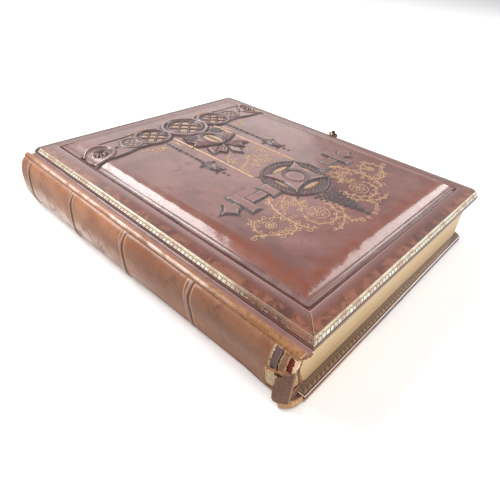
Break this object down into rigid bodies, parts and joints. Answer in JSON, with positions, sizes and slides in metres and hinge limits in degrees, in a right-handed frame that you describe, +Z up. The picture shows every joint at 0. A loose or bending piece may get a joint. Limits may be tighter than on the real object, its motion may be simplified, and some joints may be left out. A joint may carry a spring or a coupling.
{
  "type": "photo album",
  "caption": "Thick leather photo album with a raised, relief-decorated front cover, round spine with low bands, gilt card leaves and a fore-edge clasp.",
  "frame": {"origin": "middle of the back board's underside, which rests on the table", "axes": "+X from the spine to the fore-edge, +Y from the tail to the head, +Z up through the closed album"},
  "size_m": [0.3046, 0.3, 0.0585],
  "materials": {
    "cover_leather": "worn, satin",
    "panel_leather": "embossed, satin",
    "spine_leather": "faded, scuffed",
    "card_leaves": "gilt edges, dulled",
    "lining_paper": "matt",
    "red_cloth": "matt",
    "brass": "tarnished"
  },
  "bodies": {
    "block": {"text_block": "card_leaves", "spine_leather": "spine_leather", "spine_lining": "lining_paper", "head_band": "red_cloth", "tail_cloth": "red_cloth"},
    "front_cover": {"front_board": "cover_leather", "front_panel": "panel_leather", "front_pastedown": "lining_paper", "front_joint": "cover_leather", "catch_plate": "brass", "catch_stud": "brass", "catch_nails": "brass"},
    "back_cover": {"back_board": "cover_leather", "back_pastedown": "lining_paper", "back_joint": "cover_leather", "hinge_plate": "brass", "hinge_nails": "brass", "clasp_pin": "brass"},
    "hasp": {"hasp": "brass"}
  },
  "joints": [
    {"name": "front_cover_hinge", "type": "hinge", "parent": "block", "child": "front_cover", "pos_m": [-0.1242, 0, 0.04245], "axis": [0, -1, 0], "range_deg": [0, 180]},
    {"name": "back_cover_hinge", "type": "hinge", "parent": "block", "child": "back_cover", "pos_m": [-0.1242, 0, 0.002], "axis": [0, 1, 0], "range_deg": [0, 180]},
    {"name": "hasp_hinge", "type": "hinge", "parent": "back_cover", "child": "hasp", "pos_m": [0.1209, 0, 0.002], "axis": [0, -1, 0], "range_deg": [0, 90]}
  ]
}
